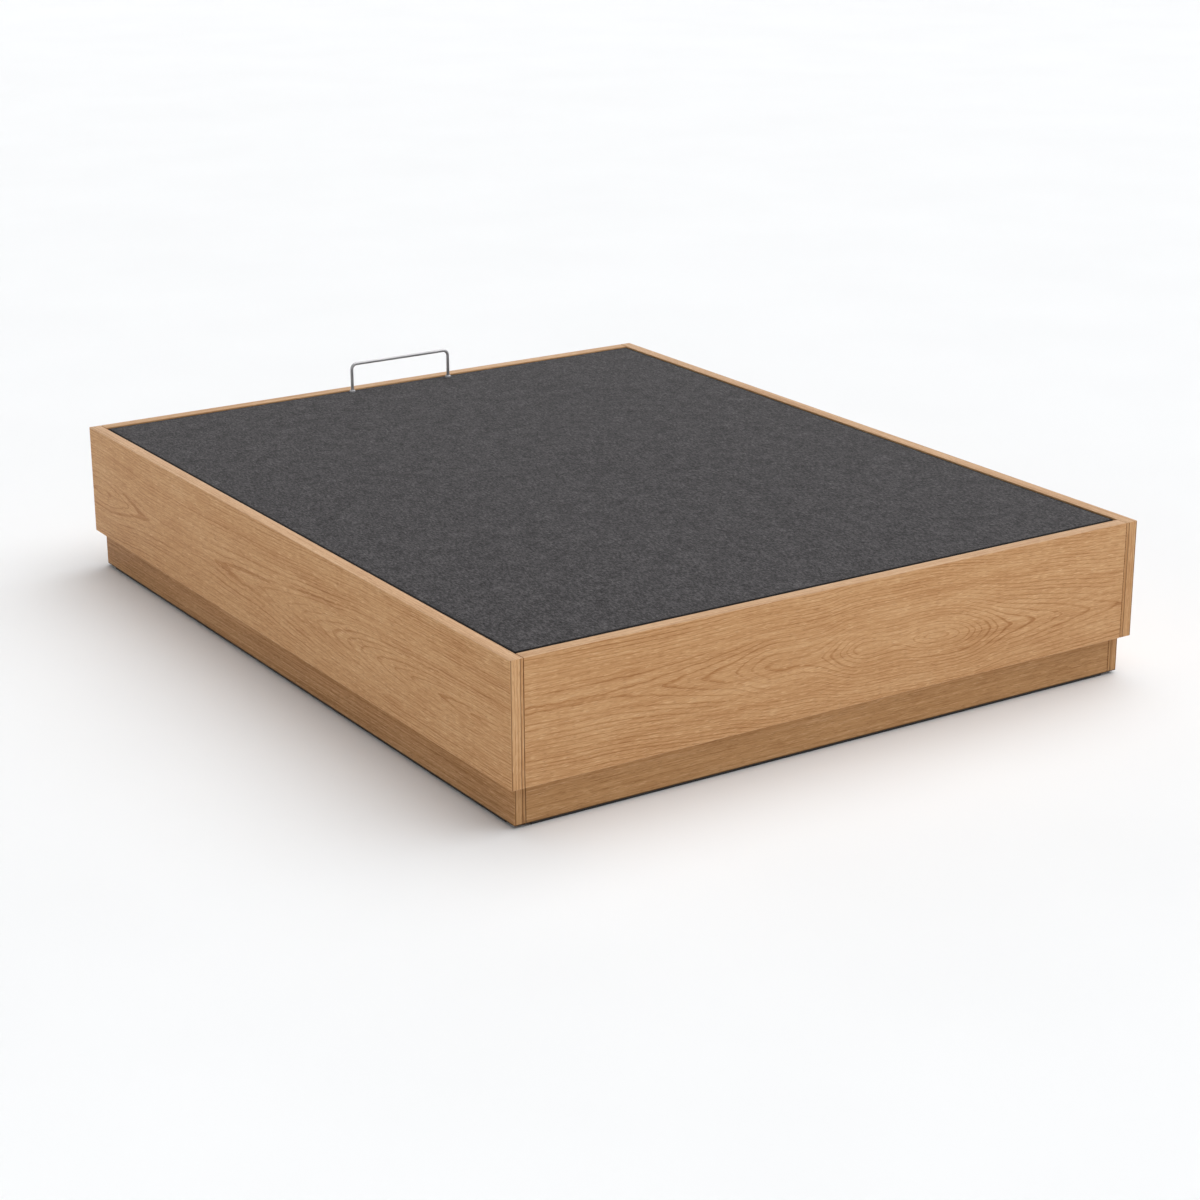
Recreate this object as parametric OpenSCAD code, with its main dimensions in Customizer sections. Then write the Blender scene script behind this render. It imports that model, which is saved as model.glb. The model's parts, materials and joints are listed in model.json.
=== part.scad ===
// Tatami platform bed with a lift-up deck over a storage well.
// Origin: floor level, centre of the footprint. +X to the right seen from the head,
// +Y from the head end to the foot end, +Z up. Lengths in millimetres.
// The deck lifts at the foot end on a four-bar linkage at each side.

/* [Bed] */
// Width over the side panels
bed_w = 1600; // [1400:10:1800]
// Length over the head and foot panels
bed_l = 2000; // [1900:10:2200]
// Height of the top edge above the floor
bed_h = 356; // [352:1:426]
// Height of the panels' lower edge above the floor
panel_low = 90; // [76:1:93]
// Thickness of the side, head and foot panels
panel_t = 30; // [24:1:36]
// Radius of the panels' long edges
panel_edge_r = 2.5; // [0.5:0.5:4]

/* [Plinth and floor] */
// Set-back of the side plinth boards from the panels' faces
plinth_inset_side = 18; // [10:1:22]
// Set-back of the head and foot plinth boards from the panels' faces
plinth_inset_end = 20; // [10:1:22]
// Thickness of the plinth boards
plinth_t = 25; // [18:1:30]
// Thickness of the cross bearers under the storage floor
bearer_t = 18; // [15:1:30]
// Distance of each cross bearer from the middle of the bed
bearer_off = 330; // [200:10:450]
// Thickness of the storage floor boards
floor_t = 16; // [12:1:18]
// Width of the strip's flange that covers the joint between the floor boards
strip_w = 20; // [14:1:40]
// Thickness of the joint strip
strip_t = 1.5; // [1:0.5:2]
// Height of the glide strips under the plinth
glide_h = 6; // [3:0.5:10]
// Width of the glide strips
glide_w = 14; // [8:0.5:16]
// Set-back of the glide strips from the plinth boards' faces
glide_back = 3; // [1:0.5:8]
// Distance of the glide strips' ends from the plinth's corners
glide_end = 40; // [30:1:120]
// Width of the bevel along the glide strips' lower edges
glide_bevel = 1; // [0.5:0.25:2]
// Side of the square blocks in the plinth's corners
block_w = 38; // [25:1:60]

/* [Corners and ledges] */
// Leg length of the corner angles
angle_leg = 34; // [28:1:40]
// Thickness of the corner angles
angle_t = 3; // [2:0.5:4]
// Height of the corner angles
angle_h = 110; // [80:5:130]
// Height of the corner angles above the middle of the space below the ledges
angle_up = 3; // [-8:1:8]
// Width of the ledges that the closed deck rests on
ledge_w = 26; // [22:1:30]
// Height of the ledges
ledge_h = 34; // [20:1:45]
// Thickness of the felt pads on the ledges
pad_t = 1.8; // [1:0.1:3]
// Gap left between a felt pad and the closed deck
pad_gap = 0.2; // [0.1:0.1:0.5]
// Length of a felt pad
pad_l = 60; // [30:5:120]

/* [Deck] */
// Depth of the deck's top face below the panels' top edge
deck_drop = 2; // [0:0.5:6]
// Gap between the deck and the side panels
deck_gap_side = 4; // [3:0.5:8]
// Gap between the deck and the foot panel
deck_gap_foot = 4; // [4:0.5:8]
// Gap between the deck and the head panel, where the edge swings
deck_gap_head = 8; // [7:0.5:12]
// Thickness of the fabric cover
cover_t = 2; // [1:0.5:4]
// Thickness of the deck boards
board_t = 16; // [14:1:22]
// Outer width and height of the deck frame's square tube
tube_w = 30; // [25:1:40]
// Wall of the tube
tube_wall = 1.5; // [1:0.5:3]
// Set-back of the frame from the deck boards' edge
tube_inset = 10; // [9:1:16]
// Distance between the cross tubes
cross_pitch = 480; // [380:10:560]

/* [Retainer bar] */
// Distance between the centres of the bar's two legs
bar_w = 285; // [160:5:600]
// Height of the bar's centre line above the deck
bar_h = 73; // [40:1:120]
// Diameter of the bar
bar_d = 8; // [6:0.5:12]
// Bend radius of the bar's centre line
bar_bend = 14; // [10:1:30]
// Sideways offset of the bar from the bed's centre line
bar_off = 50; // [-200:1:200]
// Distance of the bar's legs from the deck's foot edge
bar_back = 14; // [13:1:30]
// Radius of the collars at the bar's feet
collar_r = 7.5; // [7:0.5:12]
// Height of the collars above the deck
collar_h = 5; // [3:0.5:12]

/* [Lift linkage] */
// Distance of the rear link's fixed pivot from the head end of the bed
rear_pivot_in = 356; // [340:1:380]
// Depth of the rear link's fixed pivot below the deck frame
rear_pivot_drop = 14; // [12:1:18]
// Reach of the rear link towards the head
rear_link_back = 150; // [140:1:160]
// Rise of the rear link towards the deck
rear_link_rise = 4; // [2:0.5:6]
// Distance from the rear link's deck pivot to the main arm's deck pivot, along the bed
deck_pivot_step = 74; // [70:1:80]
// Depth of the main arm's deck pivot below the rear link's deck pivot
deck_pivot_drop = 28; // [26:1:32]
// Distance from the rear link's fixed pivot to the main arm's fixed pivot, along the bed
main_pivot_step = 342; // [330:1:352]
// Depth of the main arm's fixed pivot below the deck frame
main_pivot_drop = 83; // [78:1:88]
// Thickness of the base plate
plate_t = 4; // [3:0.5:4]
// Thickness of the rear link
rear_link_t = 4; // [3:0.5:5]
// Thickness of the deck bracket
bracket_t = 4; // [3:0.5:5]
// Thickness of the main arm
main_arm_t = 4.5; // [3:0.5:6]
// Half width of the rear link
rear_link_r = 14; // [12:0.5:15]
// Half width of the main arm
main_arm_r = 15; // [13:0.5:18]
// Radius of the pivot pins
pin_r = 5; // [4:0.5:6]
// Radius of the pins' heads
pin_head_r = 9; // [8:0.5:11]
// Thickness of the pins' heads
pin_head_t = 3; // [2:0.5:4]
// Radial clearance of the turning joints
run_gap = 0.05; // [0.02:0.01:0.1]
// Radial play of the main arm on its deck pin
free_play = 1.8; // [1.7:0.1:2.5]
// Side gap between parts that turn past each other
side_gap = 0.3; // [0.2:0.05:0.5]
// Length of the deck bracket's flange past the rear link's deck pivot
bracket_l = 374; // [250:2:460]

/* [Gas springs] */
// Distance of the spring's fixed stud behind the rear link's fixed pivot
gas_base_back = 60; // [55:1:65]
// Height of the spring's fixed stud above the storage floor
gas_base_up = 22; // [19:1:40]
// Distance of the arm's stud in front of the rear link's fixed pivot
gas_lug_step = 204; // [198:1:210]
// Depth of the arm's stud below the deck frame
gas_lug_drop = 34; // [32:1:38]
// Radius of the cylinder
gas_r = 11; // [9:0.5:12]
// Wall of the cylinder
gas_wall = 1.5; // [1:0.5:2.5]
// Radius of the rod
rod_r = 4; // [3:0.5:5]
// Travel of the piston
gas_stroke = 49; // [48:1:56]
// Length of rod left outside the closed spring
rod_out = 32; // [28:1:40]
// Radius of the spring's end eyes
eye_r = 12; // [11:0.5:13]
// Thickness of the end eyes
eye_t = 12; // [8:1:12]
// Radial play of the rod's eye on its stud
eye_play = 3; // [2.9:0.1:3.3]
// Distance of the springs' centre line from the side panel
gas_in = 37; // [36:1:42]

/* [Fasteners] */
// Radius of the screws' heads
screw_head_r = 5; // [4:0.5:6]
// Thickness of the screws' heads
screw_head_t = 2.2; // [1.5:0.1:3]
// Radius of the screws' shanks
screw_r = 2; // [1.5:0.25:3]
// Length of the screws
screw_l = 16; // [12:1:20]

/* [Hidden] */

$fn = 48;
eps = 0.01;

oak = "burlywood";
inner_board = "gainsboro";
steel = "silver";
dark_steel = "dimgray";
dark_plastic = "black";
charcoal = "darkslategray";

// Carcass planes
half_w = bed_w / 2;
half_l = bed_l / 2;
in_x = half_w - panel_t;
in_y = half_l - panel_t;
plinth_x = half_w - plinth_inset_side;
plinth_y = half_l - plinth_inset_end;
plinth_in_x = plinth_x - plinth_t;
plinth_in_y = plinth_y - plinth_t;
floor_top = panel_low + floor_t;

// Deck planes
deck_top = bed_h - deck_drop;
board_top = deck_top - cover_t;
board_low = board_top - board_t;
frame_low = board_low - tube_w;
ledge_top = frame_low - pad_gap - pad_t;
ledge_low = ledge_top - ledge_h;
angle_low = (floor_top + ledge_low - angle_h) / 2 + angle_up;
deck_x = in_x - deck_gap_side;
deck_foot = in_y - deck_gap_foot;
deck_head = -in_y + deck_gap_head;
board_x = deck_x - cover_t;
board_foot = deck_foot - cover_t;
board_head = deck_head + cover_t;
frame_x = board_x - tube_inset;
frame_foot = board_foot - tube_inset;
frame_head = board_head + tube_inset;
tube_in_x = frame_x - tube_w;

// Pivots seen from the side: [distance along the bed, height]
link_fixed = [-half_l + rear_pivot_in, frame_low - rear_pivot_drop];
link_deck = link_fixed + [-rear_link_back, rear_link_rise];
arm_deck = link_deck + [deck_pivot_step, -deck_pivot_drop];
arm_fixed = [link_fixed[0] + main_pivot_step, frame_low - main_pivot_drop];
gas_fixed = [link_fixed[0] - gas_base_back, floor_top + gas_base_up];
gas_lug = [link_fixed[0] + gas_lug_step, frame_low - gas_lug_drop];

// Layers of the linkage, counted inwards from the side panel
plate_x = in_x - plate_t;
link_x = plate_x - side_gap - rear_link_t;
head_x = link_x - side_gap - pin_head_t;
bracket_x = frame_x;
arm_x = bracket_x - side_gap - main_arm_t;
arm_head_x = arm_x - side_gap - pin_head_t;
gas_x = in_x - gas_in;
stud_head_t = 2;
stud_side = 0.5;
stud_tip_x = gas_x - eye_t / 2 - stud_side - stud_head_t;

// Ledges stop clear of the linkage
ledge_break_head = link_deck[0] - 46;
ledge_break_foot = arm_fixed[0] + 62;

// Gas spring along its own axis
gas_angle = atan2(gas_lug[1] - gas_fixed[1], gas_lug[0] - gas_fixed[0]);
gas_len = norm(gas_lug - gas_fixed);
gas_neck_r = 5;
cap_t = 6;
gland_at = gas_len - rod_out;
piston_t = 8;
piston_at = gland_at - cap_t - gas_stroke - piston_t - 6;
cylinder_at = eye_r + 10;

// A flat bar between two eyes of the side view, p and q, of radii rp and rq
module bar2d(p, q, rp, rq) {
    hull() {
        translate(p) circle(rp, $fn = 32);
        translate(q) circle(rq, $fn = 32);
    }
}

// Raises a side-view outline into a plate from x over a thickness
module side_plate(x, t) {
    translate([x, 0, 0]) rotate([90, 0, 90]) linear_extrude(t) children();
}

// A round bar across the bed at a point of the side view
module cross_pin(p, x0, x1, r) {
    translate([x0, p[0], p[1]]) rotate([0, 90, 0]) cylinder(h = x1 - x0, r = r);
}

// A rectangle with rounded corners whose arcs are true circles
module soft_square(w, h, r) {
    translate([r, 0]) square([w - 2 * r, h]);
    translate([0, r]) square([w, h - 2 * r]);
    for (x = [r, w - r], y = [r, h - r]) translate([x, y]) circle(r, $fn = 24);
}

// Copies a piece to the other side of the bed
module both_sides() {
    for (side = [0, 1]) mirror([side, 0, 0]) children();
}

module at_left() {
    mirror([1, 0, 0]) children();
}

// ---------- carcass ----------

module side_panel() {
    color(oak) translate([in_x, half_l, panel_low]) rotate([90, 0, 0])
        linear_extrude(bed_l) soft_square(panel_t, bed_h - panel_low, panel_edge_r);
}

module side_panel_left() { at_left() side_panel(); }
module side_panel_right() { side_panel(); }

module end_panel() {
    color(oak) translate([-in_x, in_y, panel_low]) rotate([90, 0, 90])
        linear_extrude(2 * in_x) soft_square(panel_t, bed_h - panel_low, panel_edge_r);
}

module head_panel() { mirror([0, 1, 0]) end_panel(); }
module foot_panel() { end_panel(); }

module plinth_side() {
    color(oak) translate([plinth_in_x, -plinth_y, glide_h])
        cube([plinth_t, 2 * plinth_y, panel_low - glide_h]);
}

module plinth_left() { at_left() plinth_side(); }
module plinth_right() { plinth_side(); }

module plinth_end() {
    color(oak) translate([-plinth_in_x, plinth_in_y, glide_h])
        cube([2 * plinth_in_x, plinth_t, panel_low - glide_h]);
}

module plinth_head() { mirror([0, 1, 0]) plinth_end(); }
module plinth_foot() { plinth_end(); }

module plinth_corner_blocks() {
    color(oak) both_sides() for (end = [0, 1]) mirror([0, end, 0])
        translate([plinth_in_x - block_w, plinth_in_y - block_w, glide_h])
            cube([block_w, block_w, panel_low - glide_h]);
}

module cross_bearer() {
    color(inner_board) translate([-plinth_in_x, bearer_off - bearer_t / 2, glide_h])
        cube([2 * plinth_in_x, bearer_t, panel_low - glide_h]);
}

module cross_bearer_head() { mirror([0, 1, 0]) cross_bearer(); }
module cross_bearer_foot() { cross_bearer(); }

// Strip along +X with bevelled lower edges, centred
module glide_strip(l) {
    side = glide_w / 2;
    rotate([90, 0, 90]) linear_extrude(l, center = true)
        polygon([[glide_bevel - side, 0], [side - glide_bevel, 0], [side, glide_bevel],
            [side, glide_h], [-side, glide_h], [-side, glide_bevel]]);
}

// Strips under the plinth boards, open at the corners, and under the bearers
module floor_glides() {
    row_x = plinth_x - glide_back - glide_w / 2;
    row_y = plinth_y - glide_back - glide_w / 2;
    color(dark_plastic) {
        both_sides() translate([row_x, 0, 0]) rotate([0, 0, 90])
            glide_strip(2 * (plinth_y - glide_end));
        for (y = [-row_y, row_y]) translate([0, y, 0])
            glide_strip(2 * (plinth_x - glide_end));
        for (y = [-bearer_off, bearer_off]) translate([0, y, 0])
            glide_strip(2 * plinth_in_x);
    }
}

module floor_board() {
    color(inner_board) translate([strip_t / 2, -in_y, panel_low])
        cube([in_x - strip_t / 2, 2 * in_y, floor_t]);
}

module floor_board_left() { at_left() floor_board(); }
module floor_board_right() { floor_board(); }

module floor_joint_strip() {
    color(inner_board) {
        translate([-strip_t / 2, -in_y, panel_low]) cube([strip_t, 2 * in_y, floor_t + eps]);
        translate([-strip_w / 2, -in_y, floor_top]) cube([strip_w, 2 * in_y, strip_t]);
    }
}

// ---------- ledges and corners ----------

module side_ledge() {
    color(inner_board) translate([in_x - ledge_w, 0, ledge_low]) {
        translate([0, -in_y, 0]) cube([ledge_w, ledge_break_head + in_y, ledge_h]);
        translate([0, ledge_break_foot, 0]) cube([ledge_w, in_y - ledge_break_foot, ledge_h]);
    }
}

module side_ledge_left() { at_left() side_ledge(); }
module side_ledge_right() { side_ledge(); }

module end_ledge() {
    color(inner_board) translate([-in_x + ledge_w, in_y - ledge_w, ledge_low])
        cube([2 * (in_x - ledge_w), ledge_w, ledge_h]);
}

module head_ledge() { mirror([0, 1, 0]) end_ledge(); }
module foot_ledge() { end_ledge(); }

module ledge_pads() {
    pad_w = frame_x - in_x + ledge_w;
    end_pad_w = frame_foot - in_y + ledge_w;
    side_run = in_y - ledge_break_foot - pad_l - ledge_w;
    color(dark_steel) {
        both_sides() for (i = [0:2])
            translate([in_x - ledge_w, ledge_break_foot + side_run * i / 2, ledge_top])
                cube([pad_w, pad_l, pad_t]);
        for (x = [-0.45, 0.45])
            translate([x * bed_w - pad_l / 2, in_y - ledge_w, ledge_top])
                cube([pad_l, end_pad_w, pad_t]);
    }
}

module corner_angles() {
    color(steel) both_sides() for (end = [0, 1]) mirror([0, end, 0])
        translate([in_x, in_y, angle_low]) linear_extrude(angle_h) {
            translate([-angle_t, -angle_leg]) square([angle_t, angle_leg]);
            translate([-angle_leg, -angle_t]) square([angle_leg, angle_t]);
        }
}

// Pan-head screw driven along +Z, its head below the plane z = 0
module screw() {
    rotate_extrude($fn = 24) polygon([[0, -screw_head_t], [screw_head_r * 0.6, -screw_head_t],
        [screw_head_r, -screw_head_t * 0.4], [screw_head_r, 0], [screw_r, 0],
        [screw_r, screw_l - screw_r], [0, screw_l]]);
}

module corner_screws() {
    color(steel) both_sides() for (end = [0, 1]) mirror([0, end, 0])
        for (z = [0.2, 0.8]) translate([in_x, in_y, angle_low + z * angle_h]) {
            translate([-angle_t, -angle_leg * 0.65, 0]) rotate([0, 90, 0]) screw();
            translate([-angle_leg * 0.65, -angle_t, 0]) rotate([-90, 0, 0]) screw();
        }
}

// ---------- lift linkage, right-hand side ----------

plate_r = 19;
plate_screw_spots = [
    for (t = [0.12, 0.44, 0.9]) along(arm_fixed, link_fixed, t),
    for (t = [0.18, 0.58]) along(gas_fixed, link_fixed, t)];

function along(p, q, t) = p + t * (q - p);

module base_plate() {
    color(dark_steel) difference() {
        side_plate(plate_x, plate_t) {
            bar2d(link_fixed, arm_fixed, plate_r, plate_r);
            bar2d(link_fixed, gas_fixed, plate_r - 2, plate_r - 2);
        }
        for (p = [link_fixed, arm_fixed, gas_fixed])
            cross_pin(p, plate_x - 1, in_x + 1, pin_r + run_gap);
    }
}

module base_plate_left() { at_left() base_plate(); }
module base_plate_right() { base_plate(); }

module plate_screws() {
    color(steel) both_sides() for (p = plate_screw_spots)
        translate([plate_x, p[0], p[1]]) rotate([0, 90, 0]) screw();
}

// The rear link turns on these
module rear_link_pins() {
    color(steel) both_sides() {
        cross_pin(link_fixed, head_x + pin_head_t - eps, in_x, pin_r);
        cross_pin(link_fixed, head_x, head_x + pin_head_t, pin_head_r);
    }
}

// The main arm turns on these, held off the base plate by a collar
module main_arm_pins() {
    collar_gap = arm_x + main_arm_t + side_gap;
    color(steel) both_sides() {
        cross_pin(arm_fixed, arm_x - side_gap - eps, in_x, pin_r);
        cross_pin(arm_fixed, collar_gap, plate_x, pin_r + 6);
        cross_pin(arm_fixed, arm_head_x, arm_head_x + pin_head_t, pin_head_r);
    }
}

module gas_base_studs() {
    color(steel) both_sides() {
        cross_pin(gas_fixed, stud_tip_x + eps, in_x, pin_r);
        cross_pin(gas_fixed, gas_x + eye_t / 2 + stud_side, plate_x, pin_r + 4);
        cross_pin(gas_fixed, stud_tip_x, stud_tip_x + stud_head_t, pin_r + 4);
    }
}

module rear_link() {
    color(dark_steel) difference() {
        side_plate(link_x, rear_link_t)
            bar2d(link_fixed, link_deck, rear_link_r, rear_link_r);
        for (p = [link_fixed, link_deck])
            cross_pin(p, link_x - 1, plate_x + 1, pin_r + run_gap);
    }
}

module rear_link_left() { at_left() rear_link(); }
module rear_link_right() { rear_link(); }

module main_arm() {
    lug_r = main_arm_r - 2;
    color(dark_steel) difference() {
        side_plate(arm_x, main_arm_t) hull() {
            translate(arm_fixed) circle(main_arm_r, $fn = 32);
            translate(arm_deck) circle(main_arm_r, $fn = 32);
            translate(gas_lug) circle(lug_r, $fn = 32);
        }
        cross_pin(arm_fixed, arm_x - 1, bracket_x + 1, pin_r + run_gap);
        cross_pin(gas_lug, arm_x - 1, bracket_x + 1, pin_r + run_gap);
        cross_pin(arm_deck, arm_x - 1, bracket_x + 1, pin_r + free_play);
    }
}

module main_arm_left() { at_left() main_arm(); }
module main_arm_right() { main_arm(); }

module gas_arm_stud() {
    color(steel) {
        cross_pin(gas_lug, stud_tip_x + eps, arm_x + main_arm_t, pin_r);
        cross_pin(gas_lug, gas_x + eye_t / 2 + stud_side, arm_x, pin_r + 4);
        cross_pin(gas_lug, stud_tip_x, stud_tip_x + stud_head_t, pin_r + 5.5);
    }
}

module gas_arm_stud_left() { at_left() gas_arm_stud(); }
module gas_arm_stud_right() { gas_arm_stud(); }

// Turns a part built along +Z into the gas spring's line
module along_gas() {
    translate([gas_x, gas_fixed[0], gas_fixed[1]]) rotate([gas_angle - 90, 0, 0]) children();
}

module eye(r, hole_r) {
    rotate([0, 90, 0]) difference() {
        cylinder(h = eye_t, r = r, center = true);
        cylinder(h = eye_t + 2, r = hole_r, center = true);
    }
}

module gas_cylinder() {
    shoulder = 3;
    bore_r = gas_r - gas_wall;
    color(dark_plastic) along_gas() {
        eye(eye_r - 1, pin_r + run_gap);
        rotate_extrude() polygon([
            [0, eye_r - 3], [gas_neck_r, eye_r - 3], [gas_neck_r, cylinder_at],
            [gas_r - shoulder, cylinder_at], [gas_r, cylinder_at + shoulder],
            [gas_r, gland_at - shoulder], [gas_r - shoulder, gland_at],
            [rod_r + run_gap, gland_at], [rod_r + run_gap, gland_at - cap_t],
            [bore_r, gland_at - cap_t], [bore_r, cylinder_at + cap_t],
            [0, cylinder_at + cap_t]]);
    }
}

module gas_cylinder_left() { at_left() gas_cylinder(); }
module gas_cylinder_right() { gas_cylinder(); }

module gas_rod() {
    piston_r = gas_r - gas_wall - 0.3;
    socket_r = eye_t / 2 - 0.5;
    socket_at = gas_len - eye_r - 8;
    socket_end = gas_len - eye_r + 1.5;
    color(steel) along_gas() {
        translate([0, 0, gas_len]) eye(eye_r, pin_r + eye_play);
        rotate_extrude() polygon([
            [0, piston_at], [piston_r, piston_at], [piston_r, piston_at + piston_t],
            [rod_r, piston_at + piston_t], [rod_r, socket_at],
            [socket_r, socket_at], [socket_r, socket_end], [0, socket_end]]);
    }
}

module gas_rod_left() { at_left() gas_rod(); }
module gas_rod_right() { gas_rod(); }

// ---------- deck ----------

bracket_strip_h = 24;
bracket_tail = 30;
bracket_r = 16;
bracket_end = link_deck[0] + bracket_l;
bolt_spots = [link_deck[0] - 14, (link_deck[0] + bracket_end) / 2, bracket_end - 14];

module deck_bracket() {
    color(dark_steel) difference() {
        side_plate(bracket_x, bracket_t) {
            translate([link_deck[0] - bracket_tail, frame_low + 2])
                square([bracket_l + bracket_tail, bracket_strip_h]);
            hull() {
                translate(link_deck) circle(bracket_r, $fn = 32);
                translate(arm_deck) circle(bracket_r, $fn = 32);
                translate([link_deck[0] - bracket_r, frame_low + 4])
                    square([deck_pivot_step + 4 * bracket_r, bracket_strip_h - 4]);
            }
        }
        cross_pin(link_deck, bracket_x - 1, link_x, pin_r + run_gap);
        cross_pin(arm_deck, bracket_x - 1, link_x, pin_r + run_gap);
    }
}

module deck_bracket_left() { at_left() deck_bracket(); }
module deck_bracket_right() { deck_bracket(); }

// Cup-head bolts that hold the brackets to the frame
module bracket_bolts() {
    head_r = 7;
    head_t = 2.6;
    color(steel) both_sides() for (y = bolt_spots)
        translate([bracket_x + bracket_t, y, frame_low + tube_w / 2]) rotate([0, 90, 0])
            rotate_extrude($fn = 24) polygon([[0, -screw_l], [screw_r, -screw_l],
                [screw_r, 0], [head_r, 0], [head_r * 0.6, head_t], [0, head_t]]);
}

// The rear links' deck ends turn on these
module deck_link_pins() {
    spacer_x = bracket_x + bracket_t;
    color(steel) both_sides() {
        cross_pin(link_deck, bracket_x, plate_x + pin_head_t - eps, pin_r);
        cross_pin(link_deck, spacer_x, link_x - side_gap, pin_head_r);
        cross_pin(link_deck, plate_x, plate_x + pin_head_t, pin_head_r);
    }
}

// The main arms' deck ends hang on these, flush outside so that the rear links pass
module deck_arm_pins() {
    color(steel) both_sides() {
        cross_pin(arm_deck, arm_head_x + eps, bracket_x + bracket_t, pin_r);
        cross_pin(arm_deck, arm_head_x, arm_head_x + pin_head_t, pin_head_r + 2);
    }
}

// Square tube along +Y from the origin corner
module square_tube(length) {
    difference() {
        cube([tube_w, length, tube_w]);
        translate([tube_wall, -1, tube_wall])
            cube([tube_w - 2 * tube_wall, length + 2, tube_w - 2 * tube_wall]);
    }
}

module deck_side_tube() {
    color(dark_steel) translate([tube_in_x, frame_head, frame_low])
        square_tube(frame_foot - frame_head);
}

module deck_side_tube_left() { at_left() deck_side_tube(); }
module deck_side_tube_right() { deck_side_tube(); }

// Tube across the bed between the side tubes, its foot-side face at y
module cross_tube(y) {
    color(dark_steel) translate([tube_in_x, y - tube_w, frame_low]) rotate([0, 0, 90])
        square_tube(2 * tube_in_x);
}

module deck_head_tube() { cross_tube(frame_head + tube_w); }
module deck_foot_tube() { cross_tube(frame_foot); }
module deck_cross_tube_head() { cross_tube(tube_w / 2 - cross_pitch); }
module deck_cross_tube_middle() { cross_tube(tube_w / 2); }
module deck_cross_tube_foot() { cross_tube(tube_w / 2 + cross_pitch); }

// Plugs with a rim in the side tubes' open ends
module tube_caps() {
    rim = 2;
    plug = 14;
    inner = tube_w - 2 * tube_wall;
    color(dark_plastic) both_sides() for (end = [0, 1])
        translate([tube_in_x, end == 0 ? frame_head : frame_foot, frame_low])
            mirror([0, end, 0]) {
                translate([0, -rim, 0]) cube([tube_w, rim, tube_w]);
                translate([tube_wall, -eps, tube_wall]) cube([inner, plug, inner]);
            }
}

module deck_screws() {
    color(steel) both_sides() for (row = [-1:1], x = [0.26, 0.7])
        translate([x * tube_in_x, row * cross_pitch, frame_low])
            rotate_extrude($fn = 24) polygon([[0, -screw_head_t],
                [screw_head_r * 0.6, -screw_head_t], [screw_head_r, -screw_head_t * 0.4],
                [screw_head_r, 0], [screw_r, 0], [screw_r, tube_w + board_t * 0.6],
                [0, tube_w + board_t * 0.6 + screw_r]]);
}

// Feet of the retainer bar
bar_y = deck_foot - bar_back;
bar_legs = [bar_off - bar_w / 2, bar_off + bar_w / 2];
nut_barrel_r = 5.5;
nut_flange_r = 11;
nut_flange_t = 1.5;
nut_l = 12;
rod_hole_gap = 0.3;

module leg_holes(z0, z1, r) {
    for (x = bar_legs) translate([x, bar_y, z0]) cylinder(h = z1 - z0, r = r);
}

module deck_board() {
    color(inner_board) difference() {
        translate([0, board_head, board_low]) cube([board_x, board_foot - board_head, board_t]);
        children();
    }
}

module nut_pockets() {
    leg_holes(board_low - 1, board_top + 1, bar_d / 2 + rod_hole_gap);
    leg_holes(board_low - 1, board_low + nut_l, nut_barrel_r);
    leg_holes(board_low - 1, board_low + nut_flange_t, nut_flange_r);
}

module deck_board_left() {
    at_left() deck_board() mirror([1, 0, 0]) nut_pockets();
}

module deck_board_right() {
    deck_board() nut_pockets();
}

// Fabric over the top and round the edges of the deck boards
module deck_cover() {
    corner_r = 4;
    color(charcoal) difference() {
        translate([-deck_x, deck_head, board_low]) linear_extrude(deck_top - board_low)
            soft_square(2 * deck_x, deck_foot - deck_head, corner_r);
        translate([-board_x, board_head, board_low - 1])
            cube([2 * board_x, board_foot - board_head, board_t + 1]);
        leg_holes(board_top - 1, deck_top + 1, collar_r + side_gap);
    }
}

// Bent rod whose feet screw into the deck
module retainer_bar() {
    rod_low = board_low + nut_flange_t + 1;
    bar_top = deck_top + bar_h;
    color(steel) {
        leg_rods(rod_low, bar_top - bar_bend);
        for (side = [0, 1]) translate([bar_off, bar_y, bar_top - bar_bend])
            mirror([side, 0, 0]) translate([bar_w / 2 - bar_bend, 0, 0]) rotate([90, 0, 0])
                rotate_extrude(angle = 90) translate([bar_bend, 0]) circle(bar_d / 2, $fn = 24);
        translate([bar_legs[0] + bar_bend, bar_y, bar_top]) rotate([0, 90, 0])
            cylinder(h = bar_w - 2 * bar_bend, r = bar_d / 2, $fn = 24);
    }
}

module leg_rods(z0, z1) {
    for (x = bar_legs) translate([x, bar_y, z0])
        cylinder(h = z1 - z0, r = bar_d / 2, $fn = 24);
}

// Collars that stand on the deck boards and pass through the fabric
module retainer_collars() {
    bevel = 1;
    h = cover_t + collar_h;
    color(steel) for (x = bar_legs) translate([x, bar_y, board_top])
        rotate_extrude() polygon([[bar_d / 2 + run_gap, 0], [collar_r, 0],
            [collar_r, h - bevel], [collar_r - bevel, h], [bar_d / 2 + run_gap, h]]);
}

module retainer_t_nuts() {
    bore_r = bar_d / 2 + run_gap;
    color(steel) for (x = bar_legs) translate([x, bar_y, board_low])
        rotate_extrude() polygon([[bore_r, 0], [nut_flange_r - run_gap, 0],
            [nut_flange_r - run_gap, nut_flange_t], [nut_barrel_r - run_gap, nut_flange_t],
            [nut_barrel_r - run_gap, nut_l], [bore_r, nut_l]]);
}

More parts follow.
